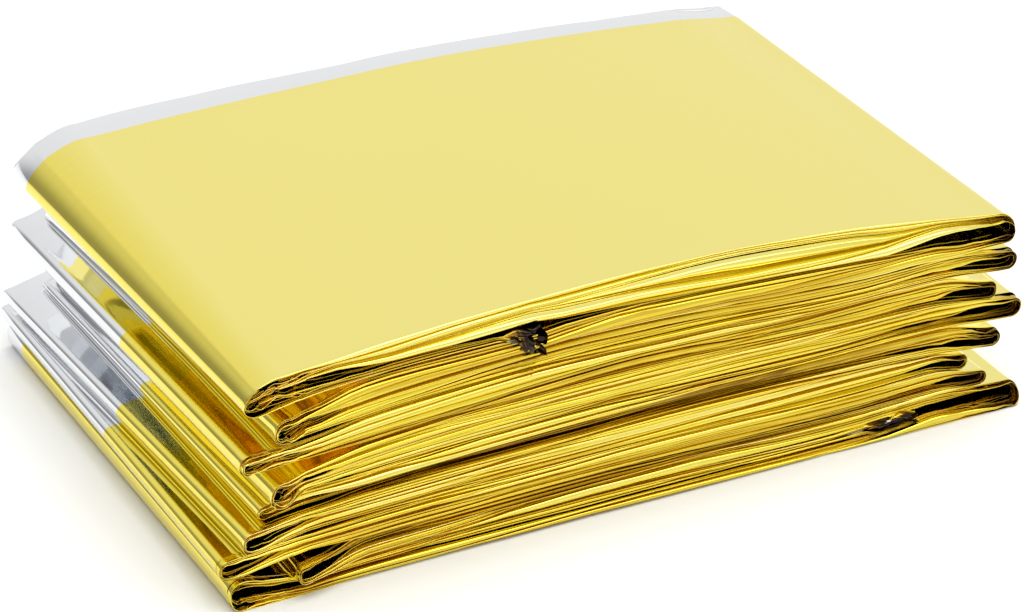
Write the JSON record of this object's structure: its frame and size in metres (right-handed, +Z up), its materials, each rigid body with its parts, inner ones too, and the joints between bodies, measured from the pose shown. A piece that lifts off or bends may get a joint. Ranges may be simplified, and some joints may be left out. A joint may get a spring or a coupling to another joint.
{
  "type": "folded emergency foil blanket",
  "caption": "Emergency foil blanket of metal-coated film, gold on one side and silver on the other, pleated and folded to a flat packet.",
  "frame": {"origin": "centre of the packet's bounding box, on its underside", "axes": "+X along the packet's long edge, +Y from its front pleats to its back, +Z up"},
  "size_m": [0.1272, 0.0822, 0.0353],
  "materials": {
    "foil_film": "thin plastic film coated with aluminium, gold lacquer on one side and bare silver on the other, glossy, with sharp pleats"
  },
  "bodies": {
    "root": {"foil_blanket": "foil_film"}
  },
  "joints": []
}
